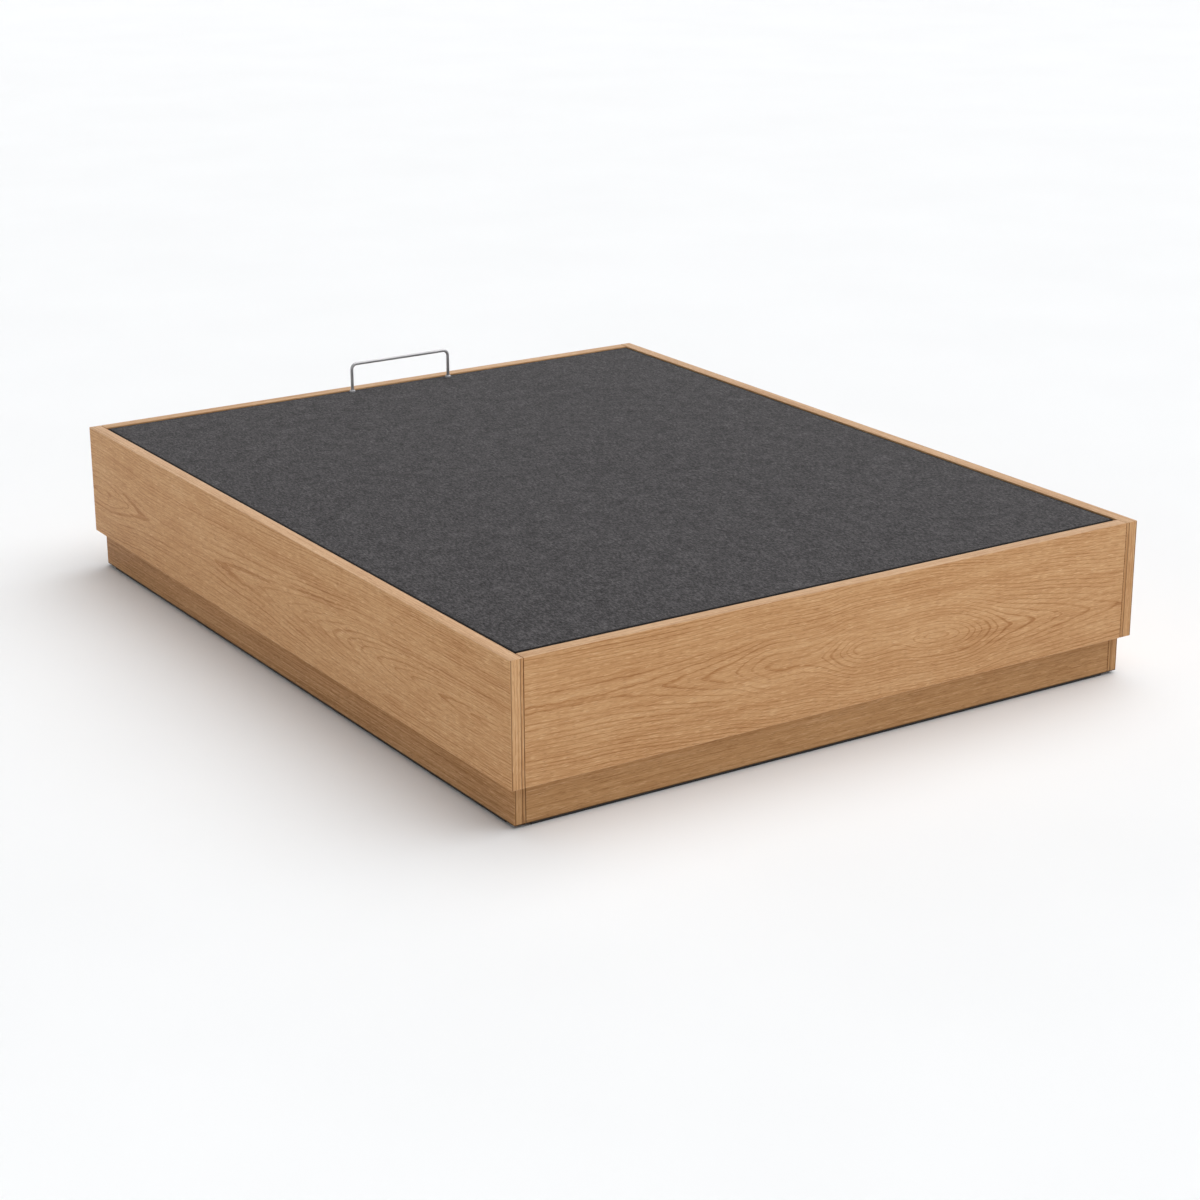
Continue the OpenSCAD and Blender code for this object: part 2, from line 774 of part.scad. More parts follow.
side_panel_left();
side_panel_right();
head_panel();
foot_panel();
plinth_left();
plinth_right();
plinth_head();
plinth_foot();
plinth_corner_blocks();
cross_bearer_head();
cross_bearer_foot();
floor_glides();
floor_board_left();
floor_board_right();
floor_joint_strip();
side_ledge_left();
side_ledge_right();
head_ledge();
foot_ledge();
ledge_pads();
corner_angles();
corner_screws();
base_plate_left();
base_plate_right();
plate_screws();
rear_link_pins();
main_arm_pins();
gas_base_studs();
rear_link_left();
rear_link_right();
main_arm_left();
main_arm_right();
gas_arm_stud_left();
gas_arm_stud_right();
gas_cylinder_left();
gas_cylinder_right();
gas_rod_left();
gas_rod_right();
deck_bracket_left();
deck_bracket_right();
bracket_bolts();
deck_link_pins();
deck_arm_pins();
deck_side_tube_left();
deck_side_tube_right();
deck_head_tube();
deck_foot_tube();
deck_cross_tube_head();
deck_cross_tube_middle();
deck_cross_tube_foot();
tube_caps();
deck_screws();
deck_board_left();
deck_board_right();
deck_cover();
retainer_bar();
retainer_collars();
retainer_t_nuts();
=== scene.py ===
"""Low platform bed: an oak-veneered box round a felt-covered deck that lifts on gas springs.

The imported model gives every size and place; this script gives the pieces their finish.
+Y runs from the head end to the foot end, +Z up, metres throughout.
"""

import json
import math

import bmesh
import bpy
from mathutils import Matrix, Vector


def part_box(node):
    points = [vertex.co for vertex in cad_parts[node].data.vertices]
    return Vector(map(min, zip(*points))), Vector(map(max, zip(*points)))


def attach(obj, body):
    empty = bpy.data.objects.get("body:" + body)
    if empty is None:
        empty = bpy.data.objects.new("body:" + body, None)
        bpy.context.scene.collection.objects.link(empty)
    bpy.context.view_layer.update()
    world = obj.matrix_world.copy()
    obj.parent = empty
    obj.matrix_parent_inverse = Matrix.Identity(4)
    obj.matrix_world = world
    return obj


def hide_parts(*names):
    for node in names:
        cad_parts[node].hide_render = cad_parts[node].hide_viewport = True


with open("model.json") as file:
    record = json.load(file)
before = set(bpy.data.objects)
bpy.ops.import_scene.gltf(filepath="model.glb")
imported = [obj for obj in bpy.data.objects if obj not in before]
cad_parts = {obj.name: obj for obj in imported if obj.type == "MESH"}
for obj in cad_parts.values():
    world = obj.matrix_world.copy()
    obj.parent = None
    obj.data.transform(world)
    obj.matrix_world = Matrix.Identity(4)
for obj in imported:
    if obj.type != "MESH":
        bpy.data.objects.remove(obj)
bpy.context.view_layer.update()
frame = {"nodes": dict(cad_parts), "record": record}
NODES = frame["nodes"]
BODY_OF = {
    node: body
    for body, members in frame["record"]["behaviour"]["bodies"].items()
    for node in members
}
SLOT_OF = {part["node"]: part["material_slot"] for part in frame["record"]["subparts"]}

X, Y, Z = range(3)
MM = 0.001

# ---------- camera, floor and light ----------

CAMERA_AT = (-3.2058, -5.0193, 2.0821)
CAMERA_HEADING = 57.02  # degrees from +X towards +Y
CAMERA_DOWN = 18.938
CAMERA_ROLL = -0.2025
CAMERA_LENS = 79.97
CAMERA_SENSOR = 36.0
CAMERA_SEES = 200.0

# The floor sweeps up into a round backdrop: radius and height of the points of its curve
SWEEP = ((0.0, 0.0), (22.0, 0.0), (25.0, 0.4), (27.5, 1.5), (29.4, 3.4), (30.5, 6.0), (30.8, 12.0))
SWEEP_SIDES = 96
SKY_STRENGTH = 0.21
KEY_FROM = (0.42, 0.0, 1.0)
KEY_STRENGTH = 2.76
KEY_SPREAD = 80.0  # degrees of sky that the light fills


def camera():
    """A studio camera at the photograph's place, looking slightly down."""
    data = bpy.data.cameras.new("studio_camera")
    data.sensor_width = CAMERA_SENSOR
    data.lens = CAMERA_LENS
    data.clip_end = CAMERA_SEES
    made = bpy.data.objects.new("studio_camera", data)
    bpy.context.scene.collection.objects.link(made)
    heading, down = math.radians(CAMERA_HEADING), math.radians(CAMERA_DOWN)
    forward = Vector((math.cos(down) * math.cos(heading),
                      math.cos(down) * math.sin(heading), -math.sin(down)))
    turn = forward.to_track_quat("-Z", "Y").to_matrix().to_4x4()
    roll = Matrix.Rotation(math.radians(CAMERA_ROLL), 4, "Z")
    made.matrix_world = Matrix.Translation(CAMERA_AT) @ turn @ roll
    bpy.context.scene.camera = made


def softbox(name, source, strength, spread):
    """A wide even light that comes from a direction, as from a ceiling of softboxes."""
    data = bpy.data.lights.new(name, "SUN")
    data.energy = strength
    data.angle = math.radians(spread)
    made = bpy.data.objects.new(name, data)
    bpy.context.scene.collection.objects.link(made)
    made.rotation_euler = Vector(source).to_track_quat("Z", "Y").to_euler()


def studio():
    """White room: a bright even sky with one large softbox overhead."""
    scene = bpy.context.scene
    scene.view_settings.view_transform = "Standard"
    world = bpy.data.worlds.new("white_studio")
    scene.world = world
    world.use_nodes = True
    sky = world.node_tree.nodes["Background"]
    sky.inputs["Color"].default_value = (1.0, 1.0, 1.0, 1.0)
    sky.inputs["Strength"].default_value = SKY_STRENGTH
    softbox("overhead_light", KEY_FROM, KEY_STRENGTH, KEY_SPREAD)

    sweep = outward(turned(SWEEP, SWEEP_SIDES))
    bmesh.ops.reverse_faces(sweep, faces=sweep.faces[:])
    finished(sweep, "studio_floor", [floor_paint_and_glow()])


# ---------- shader kit ----------


def srgb(red, green, blue):
    """A screen colour from 0 to 255 as a linear colour with full alpha."""
    def linear(value):
        value /= 255
        return value / 12.92 if value <= 0.04045 else ((value + 0.055) / 1.055) ** 2.4
    return (linear(red), linear(green), linear(blue), 1.0)


class Field:
    """A number that varies over a surface, which Python's operators work on."""

    def __init__(self, finish, socket):
        self.finish = finish
        self.socket = socket

    def maths(self, operation, *others):
        """This number, and any others, through one arithmetic operation."""
        sockets = dict(enumerate((self, *others)))
        return self.finish.node("Math", sockets, operation=operation)

    def __add__(self, other):
        return self.maths("ADD", other)

    def __radd__(self, other):
        return self.maths("ADD", other)

    def __sub__(self, other):
        return self.maths("SUBTRACT", other)

    def __rsub__(self, other):
        return self.finish.node("Math", {0: other, 1: self}, operation="SUBTRACT")

    def __mul__(self, other):
        return self.maths("MULTIPLY", other)

    def __rmul__(self, other):
        return self.maths("MULTIPLY", other)

    def __truediv__(self, other):
        return self.maths("DIVIDE", other)

    def __abs__(self):
        return self.maths("ABSOLUTE")

    def root(self):
        return self.maths("SQRT")

    def part(self):
        """What is left above the whole number."""
        return self.maths("FRACT")

    def wave(self):
        return self.maths("SINE")

    def span(self, low, high, to_low=0.0, to_high=1.0):
        """This number carried smoothly from one range to another, and held at its ends."""
        sockets = {"Value": self, "From Min": low, "From Max": high,
                   "To Min": to_low, "To Max": to_high}
        return self.finish.node("MapRange", sockets, interpolation_type="SMOOTHSTEP")


class Finish:
    """One material: a principled shader with what feeds it."""

    def __init__(self, name, **fixed):
        self.material = bpy.data.materials.new(name)
        self.material.use_nodes = True
        self.tree = self.material.node_tree
        self.shader = self.tree.nodes["Principled BSDF"]
        for key, value in fixed.items():
            self.shader.inputs[key.replace("_", " ")].default_value = value

    def node(self, kind, sockets=None, stops=None, out=0, **settings):
        """Any node: its settings first, then the values or links of its sockets."""
        made = self.tree.nodes.new("ShaderNode" + kind)
        for key, value in settings.items():
            setattr(made, key, value)
        if stops:
            ramp = made.color_ramp
            while len(ramp.elements) < len(stops):
                ramp.elements.new(1.0)
            for element, (at, colour) in zip(ramp.elements, stops):
                element.position = at
                element.color = colour
        for key, value in (sockets or {}).items():
            if isinstance(value, Field):
                self.tree.links.new(value.socket, made.inputs[key])
            else:
                made.inputs[key].default_value = value
        return Field(self, made.outputs[out])

    def place(self):
        """The three object coordinates."""
        point = self.node("TexCoord", out="Object")
        return [self.node("SeparateXYZ", {"Vector": point}, out=axis) for axis in "XYZ"]

    def noise(self, a, b=0.0, c=0.0, detail=2.0, roughness=0.5):
        """Smooth noise about 0.5 over up to three stretched coordinates."""
        spot = self.node("CombineXYZ", {"X": a, "Y": b, "Z": c})
        return self.node("TexNoise", {"Vector": spot, "Scale": 1.0, "Detail": detail,
                                      "Roughness": roughness})

    def ramp(self, amount, *stops):
        """A colour picked by an amount between stops of place and colour."""
        return self.node("ValToRGB", {"Fac": amount}, stops=stops)

    def mix(self, amount, first, second):
        """Two colours mixed by an amount."""
        return self.node("Mix", {0: amount, 6: first, 7: second}, out=2, data_type="RGBA")

    def feed(self, **inputs):
        """Links fields to the shader's inputs."""
        for key, field in inputs.items():
            self.tree.links.new(field.socket, self.shader.inputs[key.replace("_", " ")])

    def bump(self, height, strength, distance):
        """Raises the surface by a height field, with its depth in metres."""
        sockets = {"Height": height, "Strength": strength, "Distance": distance}
        self.feed(Normal=self.node("Bump", sockets))


# ---------- finishes ----------


# Painted light on the backdrop, a glow standing in for a lamp's wash: the heights between
# which it comes up, the places from side to side between which it brightens, and its glow where it
# is brightest
GLOW_RISE = (0.2, 7.0)
GLOW_FADE = (-32.0, 32.0)
PAINTED_GLOW = srgb(176, 176, 178)


def floor_paint_and_glow():
    """White paint; one side of the backdrop glows with painted light, as if a lamp washed over it.
    """
    finish = Finish("floor_paint_and_glow", Roughness=0.75, Emission_Strength=1.0)
    x, y, z = finish.place()
    cloud = finish.noise(x * 1.5, y * 1.5)
    # painted light: the backdrop glows higher up and towards +X
    painted_glow_amount = z.span(*GLOW_RISE) * x.span(*GLOW_FADE)
    finish.feed(Base_Color=finish.ramp(cloud, (0.3, srgb(239, 240, 241)),
                                       (0.7, srgb(241, 242, 243))),
                Emission_Color=finish.ramp(painted_glow_amount, (0.0, srgb(0, 0, 0)), (1.0, PAINTED_GLOW)))
    finish.material.cycles.emission_sampling = "NONE"
    return finish.material


# Oak tones from the darkest pore to the palest fibre; the plinth tones carry painted shade
OAK_FACE = (srgb(138, 91, 54), srgb(178, 127, 82), srgb(205, 159, 113), srgb(232, 195, 153))
OAK_BAND = (srgb(140, 98, 64), srgb(174, 132, 94), srgb(200, 161, 123), srgb(224, 192, 157))
# painted shade: the plinths are darker for the shadow under the panels' overhang, the side plinth
# darker still
OAK_PLINTH_SHADED = (srgb(119, 79, 46), srgb(158, 114, 74), srgb(186, 142, 97), srgb(212, 173, 131))
OAK_SIDE_PLINTH_SHADED = (srgb(107, 70, 41), srgb(149, 106, 68), srgb(179, 134, 91), srgb(209, 168, 126))

GLUE = srgb(92, 60, 36)
GLUE_LINE = (1.3 * MM, 0.5 * MM)  # half widths where a line begins to show and where it is full
GLUE_SHOWS = 0.75
# Painted shade: a thin dark band above a plinth's lower edge for the shadow in the gap under it;
# its colour, height, fade and strength
GAP_SHADOW_COLOUR = srgb(52, 38, 28)
GAP_SHADOW_HEIGHT = 1.6 * MM
GAP_SHADOW_FADE = 1.6 * MM
GAP_SHADOW_STRENGTH = 0.85

RING_STEP = 8.5 * MM
ARCH_POINT = 0.3  # how pointed the arches are
TIP_SOFTNESS = 0.00001  # square metres, rounds the tips of the arches
# Crown-cut figures: height of the middle line and its tilt, the place where the middle of
# the tree lay nearest, how far behind the veneer it lay there, how much deeper it went and
# over what length, then the bumps on it: place, half length and height
END_FIGURE = (0.21, -0.05, 0.15, 55.0 * MM, 60.0 * MM, 0.75,
              ((-0.19, 0.1, 0.01), (0.05, 0.12, 0.032), (0.25, 0.2, 0.046)))
SIDE_FIGURE = (0.202, 0.0, -0.98, 10.0 * MM, 110.0 * MM, 1.3,
               ((0.95, 0.3, 0.022), (0.2, 0.2, 0.005)))


def ring_lines(finish, run, side, leaf, figure):
    """Late-wood lines of a crown cut: arches and eyes round each swell of the rings."""
    middle, tilt, heart, least, deeper, length, bumps = figure
    wander = (finish.noise(run * 1.6, 0.0, leaf + 5.0) - 0.5) * (30.0 * MM)
    off = side - middle - run * tilt - wander
    depth = least + abs(run - heart).span(0.0, length, 0.0, deeper)
    for place, reach, height in bumps:
        depth = depth - abs(run - place).span(reach, 0.0, 0.0, height)
    rise = (off * off + depth * depth).root() + (off * off + TIP_SOFTNESS).root() * ARCH_POINT
    drift = (finish.noise(run * 2.2, side * 3.0, leaf + 23.0) - 0.5) * (14.0 * MM)
    waver = (finish.noise(run * 30.0, side * 60.0, leaf + 29.0, detail=3.0) - 0.5) * (4.0 * MM)
    rings = (rise + drift + waver) / RING_STEP
    uneven = rings + (finish.noise(rings * 0.9, 0.0, leaf) - 0.5) * 1.3
    edge = uneven.part()
    shade = finish.noise(run * 3.0, side * 18.0, leaf + 41.0).span(0.34, 0.66)
    return edge.span(0.62, 0.92) * edge.span(1.0, 0.93) * (0.13 + shade * 0.13) - edge * 0.05


def oak(name, along, across, through, tones, figure=None, lines=0.32, gloss=0.05, glued=(),
        gap_shadow_from=None):
    """Oiled oak veneer with its grain along one axis; a crown cut has a figure.

    Lines is how strongly the straight growth lines of a quarter cut show. Glued holds the
    distances from the bed's middle where a dark glue line runs along the grain. The last
    argument is the height of a lower edge, above which a thin dark band of painted shade
    stands for the shadow in the gap under the board.
    """
    finish = Finish(name, Roughness=0.55, Specular_IOR_Level=gloss)
    place = finish.place()
    run, side, depth = place[along], place[across], place[through]
    leaf = depth * 31.0

    broad = finish.noise(run * 1.1, side * 11.0, leaf, detail=3.0)
    cloud = finish.noise(run * 7.0, side * 20.0, leaf + 31.0, detail=2.0)
    bands_per_metre = 95.0 if figure else 260.0
    bands = finish.noise(run * 1.6, side * bands_per_metre, leaf + 7.0, detail=3.0)
    fibres = finish.noise(run * 18.0, side * 460.0, leaf + 3.0, detail=3.0, roughness=0.65)
    flecks = finish.noise(run * 42.0, side * 520.0, leaf + 11.0, detail=1.0)
    pores = finish.noise(run * 60.0, side * 900.0, leaf + 17.0, detail=1.0)

    tone = (0.5 + (broad - 0.5) * 0.2 + (cloud - 0.5) * 0.22 + (bands - 0.5) * lines
            + (fibres - 0.5) * 0.52)
    if figure:
        tone = tone - ring_lines(finish, run, side, leaf, figure)
    tone = tone + flecks.span(0.56, 0.72) * 0.22
    dark, brown, honey, pale = tones
    colour = finish.ramp(tone, (0.0, dark), (0.3, brown), (0.54, honey), (0.95, pale))
    open_pores = pores.span(0.42, 0.3)
    colour = finish.mix(open_pores * 0.4, colour, dark)
    for at in glued:
        colour = finish.mix(abs(abs(side) - at).span(*GLUE_LINE) * GLUE_SHOWS, colour, GLUE)
    # painted shade of the gap under the board: a thin dark band above its lower edge
    if gap_shadow_from is not None:
        gap_shadow_band = place[Z].span(gap_shadow_from + GAP_SHADOW_HEIGHT + GAP_SHADOW_FADE, gap_shadow_from + GAP_SHADOW_HEIGHT)
        colour = finish.mix(gap_shadow_band * GAP_SHADOW_STRENGTH, colour, GAP_SHADOW_COLOUR)
    finish.feed(Base_Color=colour, Roughness=0.52 + (fibres - 0.5) * 0.3 + open_pores * 0.15)
    finish.bump(fibres * 0.35 - open_pores, 0.35, 0.12 * MM)
    return finish.material


def pine():
    """Planed softwood of the ledges and blocks: pale, with soft brown growth lines."""
    finish = Finish("planed_pine", Roughness=0.6)
    x, y, z = finish.place()
    lines = finish.noise(x * 60.0 + y * 1.5, z * 90.0, y * 1.2, detail=2.0)
    fibres = finish.noise(x * 420.0, y * 9.0, z * 420.0, detail=2.0)
    tone = lines * 0.7 + fibres * 0.3
    finish.feed(Base_Color=finish.ramp(tone, (0.3, srgb(196, 150, 96)), (0.5, srgb(226, 192, 142)),
                                       (0.7, srgb(236, 209, 166))),
                Roughness=0.5 + fibres * 0.2)
    finish.bump(fibres, 0.3, 0.1 * MM)
    return finish.material


def faced_board():
    """Pale grey faced board with a faint pressed linen texture."""
    finish = Finish("grey_faced_board", Roughness=0.5)
    x, y, z = finish.place()
    threads = (x * 2600.0).wave() * 0.5 + (y * 2600.0).wave() * 0.5
    cloud = finish.noise(x * 5.0, y * 5.0, z * 5.0, detail=3.0)
    tone = cloud * 0.8 + threads * 0.06
    finish.feed(Base_Color=finish.ramp(tone, (0.2, srgb(196, 194, 190)),
                                       (0.6, srgb(212, 210, 206))),
                Roughness=0.46 + cloud * 0.1)
    finish.bump(threads, 0.15, 0.05 * MM)
    return finish.material


def fibreboard():
    """Bare fibreboard: even light brown with dark and pale fibres."""
    finish = Finish("bare_fibreboard", Roughness=0.8)
    x, y, z = finish.place()
    specks = finish.noise(x * 700.0, y * 700.0, z * 700.0, detail=2.0)
    cloud = finish.noise(x * 7.0, y * 7.0, z * 7.0, detail=3.0)
    tone = specks * 0.8 + cloud * 0.2
    finish.feed(Base_Color=finish.ramp(tone, (0.3, srgb(142, 108, 74)), (0.5, srgb(174, 139, 100)),
                                       (0.7, srgb(196, 164, 126))),
                Roughness=0.74 + specks * 0.15)
    finish.bump(specks, 0.3, 0.15 * MM)
    return finish.material


# Painted shade of the gap round the deck, darkening the felt along the cover's edge: where
# that starts and where it is darkest, from the edge
EDGE_SHADE_BAND = (-6.0 * MM, -3.5 * MM)
EDGE_SHADE_COLOUR = srgb(12, 11, 11)
EDGE_SHADE_STRENGTH = 0.9


def deck_felt():
    """Charcoal needled felt: mixed dark and grey fibres, faintly clouded, with painted shade along
    its edge.
    """
    finish = Finish("charcoal_felt", Roughness=0.95, Specular_IOR_Level=0.08,
                    Sheen_Weight=0.04, Sheen_Roughness=0.6)
    x, y, z = finish.place()
    depth = z * 400.0
    fibres = finish.noise(x * 900.0, y * 500.0, depth, detail=2.0, roughness=0.7)
    tufts = finish.noise(x * 300.0, y * 120.0, depth, detail=3.0, roughness=0.7)
    cloud = finish.noise(x * 22.0, y * 22.0, z * 20.0, detail=4.0, roughness=0.6)
    tone = 0.5 + (fibres - 0.5) * 0.8 + (tufts - 0.5) * 1.9 + (cloud - 0.5) * 0.4
    colour = finish.ramp(tone, (0.1, srgb(36, 35, 36)), (0.5, srgb(65, 63, 64)),
                         (0.9, srgb(102, 99, 100)))
    low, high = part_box("deck_cover")
    middle, reach = (low + high) / 2, (high - low) / 2
    # painted shade: the felt darkens towards the cover's edge for the shadow in the gap to the rim
    for across, axis in ((x, X), (y, Y)):
        felt_edge_shade = (abs(across - middle[axis]) - reach[axis]).span(*EDGE_SHADE_BAND)
        colour = finish.mix(felt_edge_shade * EDGE_SHADE_STRENGTH, colour, EDGE_SHADE_COLOUR)
    finish.feed(Base_Color=colour, Roughness=0.9 + (tufts - 0.5) * 0.2)
    finish.bump(fibres * 0.5 + tufts, 0.6, 0.5 * MM)
    return finish.material


def pad_felt():
    """Grey needled felt of the pads on the ledges."""
    finish = Finish("grey_pad_felt", Roughness=0.95)
    x, y, z = finish.place()
    fibres = finish.noise(x * 800.0, y * 800.0, z * 800.0, detail=3.0, roughness=0.7)
    finish.feed(Base_Color=finish.ramp(fibres, (0.3, srgb(88, 86, 84)), (0.7, srgb(142, 140, 136))),
                Roughness=0.85 + fibres * 0.1)
    finish.bump(fibres, 0.6, 0.3 * MM)
    return finish.material


def zinc():
    """Bright zinc plating with a faint warm and blue mottle."""
    finish = Finish("zinc_plate", Metallic=1.0, Roughness=0.32)
    x, y, z = finish.place()
    mottle = finish.noise(x * 120.0, y * 120.0, z * 120.0, detail=3.0)
    fine = finish.noise(x * 900.0, y * 900.0, z * 900.0, detail=2.0)
    finish.feed(Base_Color=finish.ramp(mottle, (0.35, srgb(176, 180, 188)),
                                       (0.65, srgb(206, 204, 198))),
                Roughness=0.24 + mottle * 0.2 + fine * 0.06)
    finish.bump(fine, 0.1, 0.05 * MM)
    return finish.material


def powder_paint(name, dark, light, roughness):
    """Powder coat with its fine orange-peel skin."""
    finish = Finish(name, Roughness=roughness)
    x, y, z = finish.place()
    peel = finish.noise(x * 480.0, y * 480.0, z * 480.0, detail=1.0)
    cloud = finish.noise(x * 16.0, y * 16.0, z * 16.0, detail=3.0)
    finish.feed(Base_Color=finish.ramp(cloud, (0.35, dark), (0.65, light)),
                Roughness=roughness + (peel - 0.5) * 0.12 + (cloud - 0.5) * 0.08)
    finish.bump(peel, 0.25, 0.12 * MM)
    return finish.material


def plastic(name, dark, light, roughness):
    """Moulded plastic with a fine spark-eroded grain."""
    finish = Finish(name, Roughness=roughness)
    x, y, z = finish.place()
    grain = finish.noise(x * 1500.0, y * 1500.0, z * 1500.0, detail=1.0)
    finish.feed(Base_Color=finish.ramp(grain, (0.3, dark), (0.7, light)),
                Roughness=roughness + (grain - 0.5) * 0.15)
    finish.bump(grain, 0.2, 0.05 * MM)
    return finish.material


def drawn_steel(name, dark, light, roughness, streak, metallic=1.0):
    """Polished round steel with fine lines round it from the draw."""
    finish = Finish(name, Metallic=metallic, Roughness=roughness)
    x, y, z = finish.place()
    lines = finish.noise(x * streak, y * streak, z * streak, detail=3.0)
    smear = finish.noise(x * 30.0, y * 30.0, z * 30.0, detail=3.0)
    finish.feed(Base_Color=finish.ramp(smear, (0.35, dark), (0.65, light)),
                Roughness=roughness + (lines - 0.5) * 0.08 + (smear - 0.5) * 0.1)
    finish.bump(lines, 0.05, 0.03 * MM)
    return finish.material


# Depths of the glue lines in a side board, from its outside and from its inside
OUTER_PLY = 2.5 * MM
INNER_PLY = 6.5 * MM
BUTT_LINE = 0.5 * MM  # how far past the board the glue of the butt joint shows


def layers(node):
    """Distances from the bed's middle of the glue lines in a side board's end."""
    low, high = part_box(node)
    return high.x - OUTER_PLY, low.x + INNER_PLY, low.x - BUTT_LINE


def make_finishes():
    """One material for each slot of the record, and oak in each grain direction."""
    plinth_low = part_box("plinth_right")[0].z
    return {
        "oak_side_face": oak("oak_side_face", Y, Z, X, OAK_FACE, SIDE_FIGURE),
        "oak_end_face": oak("oak_end_face", X, Z, Y, OAK_FACE, END_FIGURE),
        "oak_side_band": oak("oak_side_band", Y, X, Z, OAK_BAND, lines=0.9, gloss=0.2),
        "oak_end_band": oak("oak_end_band", X, Y, Z, OAK_BAND, lines=0.9, gloss=0.2),
        "oak_strip": oak("oak_strip", Z, X, Y, OAK_FACE, lines=0.9,
                         glued=layers("side_panel_right")),
        # plinths: darker tones painted as shade under the overhang, and a painted dark band for the
        # gap beneath
        "oak_side_plinth": oak("oak_side_plinth", Y, Z, X, OAK_SIDE_PLINTH_SHADED, lines=0.9,
                               gap_shadow_from=plinth_low),
        "oak_end_plinth": oak("oak_end_plinth", X, Z, Y, OAK_PLINTH_SHADED, lines=0.5,
                              gap_shadow_from=plinth_low),
        "oak_plinth_strip": oak("oak_plinth_strip", Z, X, Y, OAK_PLINTH_SHADED, lines=0.9,
                                glued=layers("plinth_right"), gap_shadow_from=plinth_low),
        "pine": pine(),
        "inner_board": faced_board(),
        "deck_fibreboard": fibreboard(),
        "deck_fabric": deck_felt(),
        "felt": pad_felt(),
        "zinc_steel": zinc(),
        "white_plastic": plastic("white_plastic", srgb(224, 223, 219), srgb(234, 233, 230), 0.4),
        "black_plastic": plastic("black_plastic", srgb(22, 22, 23), srgb(34, 34, 35), 0.5),
        "grey_paint": powder_paint("grey_powder_paint", srgb(84, 86, 89), srgb(94, 96, 99), 0.42),
        "black_paint": powder_paint("black_paint", srgb(20, 20, 21), srgb(27, 27, 28), 0.3),
        "polished_rod": drawn_steel("polished_rod", srgb(176, 178, 182), srgb(202, 203, 205),
                                    roughness=0.12, streak=1400.0),
        "chromed_bar": drawn_steel("chromed_bar", srgb(180, 179, 181), srgb(200, 199, 200),
                                   roughness=0.4, streak=900.0, metallic=0.6),
    }


# ---------- piece building ----------


def finished(mesh, name, materials, smooth=40.0):
    """A bmesh made an object with its materials, shaded smooth below an angle."""
    data = bpy.data.meshes.new(name)
    mesh.to_mesh(data)
    mesh.free()
    for material in materials:
        data.materials.append(material)
    data.polygons.foreach_set("use_smooth", [True] * len(data.polygons))
    data.set_sharp_from_angle(angle=math.radians(smooth))
    made = bpy.data.objects.new(name, data)
    bpy.context.scene.collection.objects.link(made)
    return made


def stand_in(piece, node):
    """The piece takes the place of a node: it rides on the node's body."""
    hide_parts(node)
    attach(piece, BODY_OF[node])


def block(low, high):
    """A plain box mesh between two corners, to be shaped further."""
    mesh = bmesh.new()
    bmesh.ops.create_cube(mesh, size=1.0)
    size, middle = high - low, (high + low) / 2
    bmesh.ops.scale(mesh, vec=size, verts=mesh.verts)
    bmesh.ops.translate(mesh, vec=middle, verts=mesh.verts)
    return mesh


def round_edges(mesh, edges, radius, segments=3):
    """Rounds a mesh's edges with arcs of a few segments."""
    bmesh.ops.bevel(mesh, geom=edges, offset=radius, offset_type="OFFSET", affect="EDGES",
                    segments=segments, profile=0.5, material=-1, clamp_overlap=True)


def outer_edges(mesh):
    """The sharp edges that stand out; a fillet in an inner corner would meet a neighbour."""
    sharp = math.radians(30)
    return [e for e in mesh.edges if e.is_convex and e.calc_face_angle(0.0) > sharp]


PANEL_EDGE = 1.6 * MM
PLINTH_EDGE = 1.0 * MM
SEAM = 1.3 * MM  # set back where a board ends against the next one
WELD = 0.005 * MM  # points of a node's triangles nearer than this are one point


def veneered_board(node, along, edge, finishes):
    """A board with face veneer, long bands on its narrow edges and strips on its ends."""
    low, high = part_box(node)
    if along == X:
        low.x, high.x = low.x + SEAM, high.x - SEAM
    mesh = block(low, high)
    round_edges(mesh, list(mesh.edges), edge)
    mesh.normal_update()
    through = Y if along == X else X
    for face in mesh.faces:
        facing = max(range(3), key=lambda axis: abs(face.normal[axis]))
        face.material_index = {through: 0, Z: 1, along: 2}[facing]
    stand_in(finished(mesh, f"oak_{node}", [FINISHES[kind] for kind in finishes]), node)


def box_walls():
    """The four panels and the four plinth boards."""
    boards = (("side", Y, "side_panel_left", "side_panel_right", "plinth_left", "plinth_right"),
              ("end", X, "head_panel", "foot_panel", "plinth_head", "plinth_foot"))
    for kind, along, *nodes in boards:
        panel = [f"oak_{kind}_face", f"oak_{kind}_band", "oak_strip"]
        plinth = [f"oak_{kind}_plinth", f"oak_{kind}_plinth", "oak_plinth_strip"]
        for node in nodes[:2]:
            veneered_board(node, along, PANEL_EDGE, panel)
        for node in nodes[2:]:
            veneered_board(node, along, PLINTH_EDGE, plinth)


def merged_copy(node):
    """A node's own shape as a bmesh, with the points of its loose triangles merged."""
    mesh = bmesh.new()
    mesh.from_mesh(NODES[node].data)
    bmesh.ops.remove_doubles(mesh, verts=mesh.verts, dist=WELD)
    return mesh


def rounded_copy(node, radius):
    """A node's own shape with its sharp outer edges rounded."""
    mesh = merged_copy(node)
    bmesh.ops.dissolve_limit(mesh, angle_limit=math.radians(1.0), verts=mesh.verts,
                             edges=mesh.edges)
    round_edges(mesh, outer_edges(mesh), radius, 2)
    stand_in(finished(mesh, f"rounded_{node}", [FINISHES[SLOT_OF[node]]]), node)


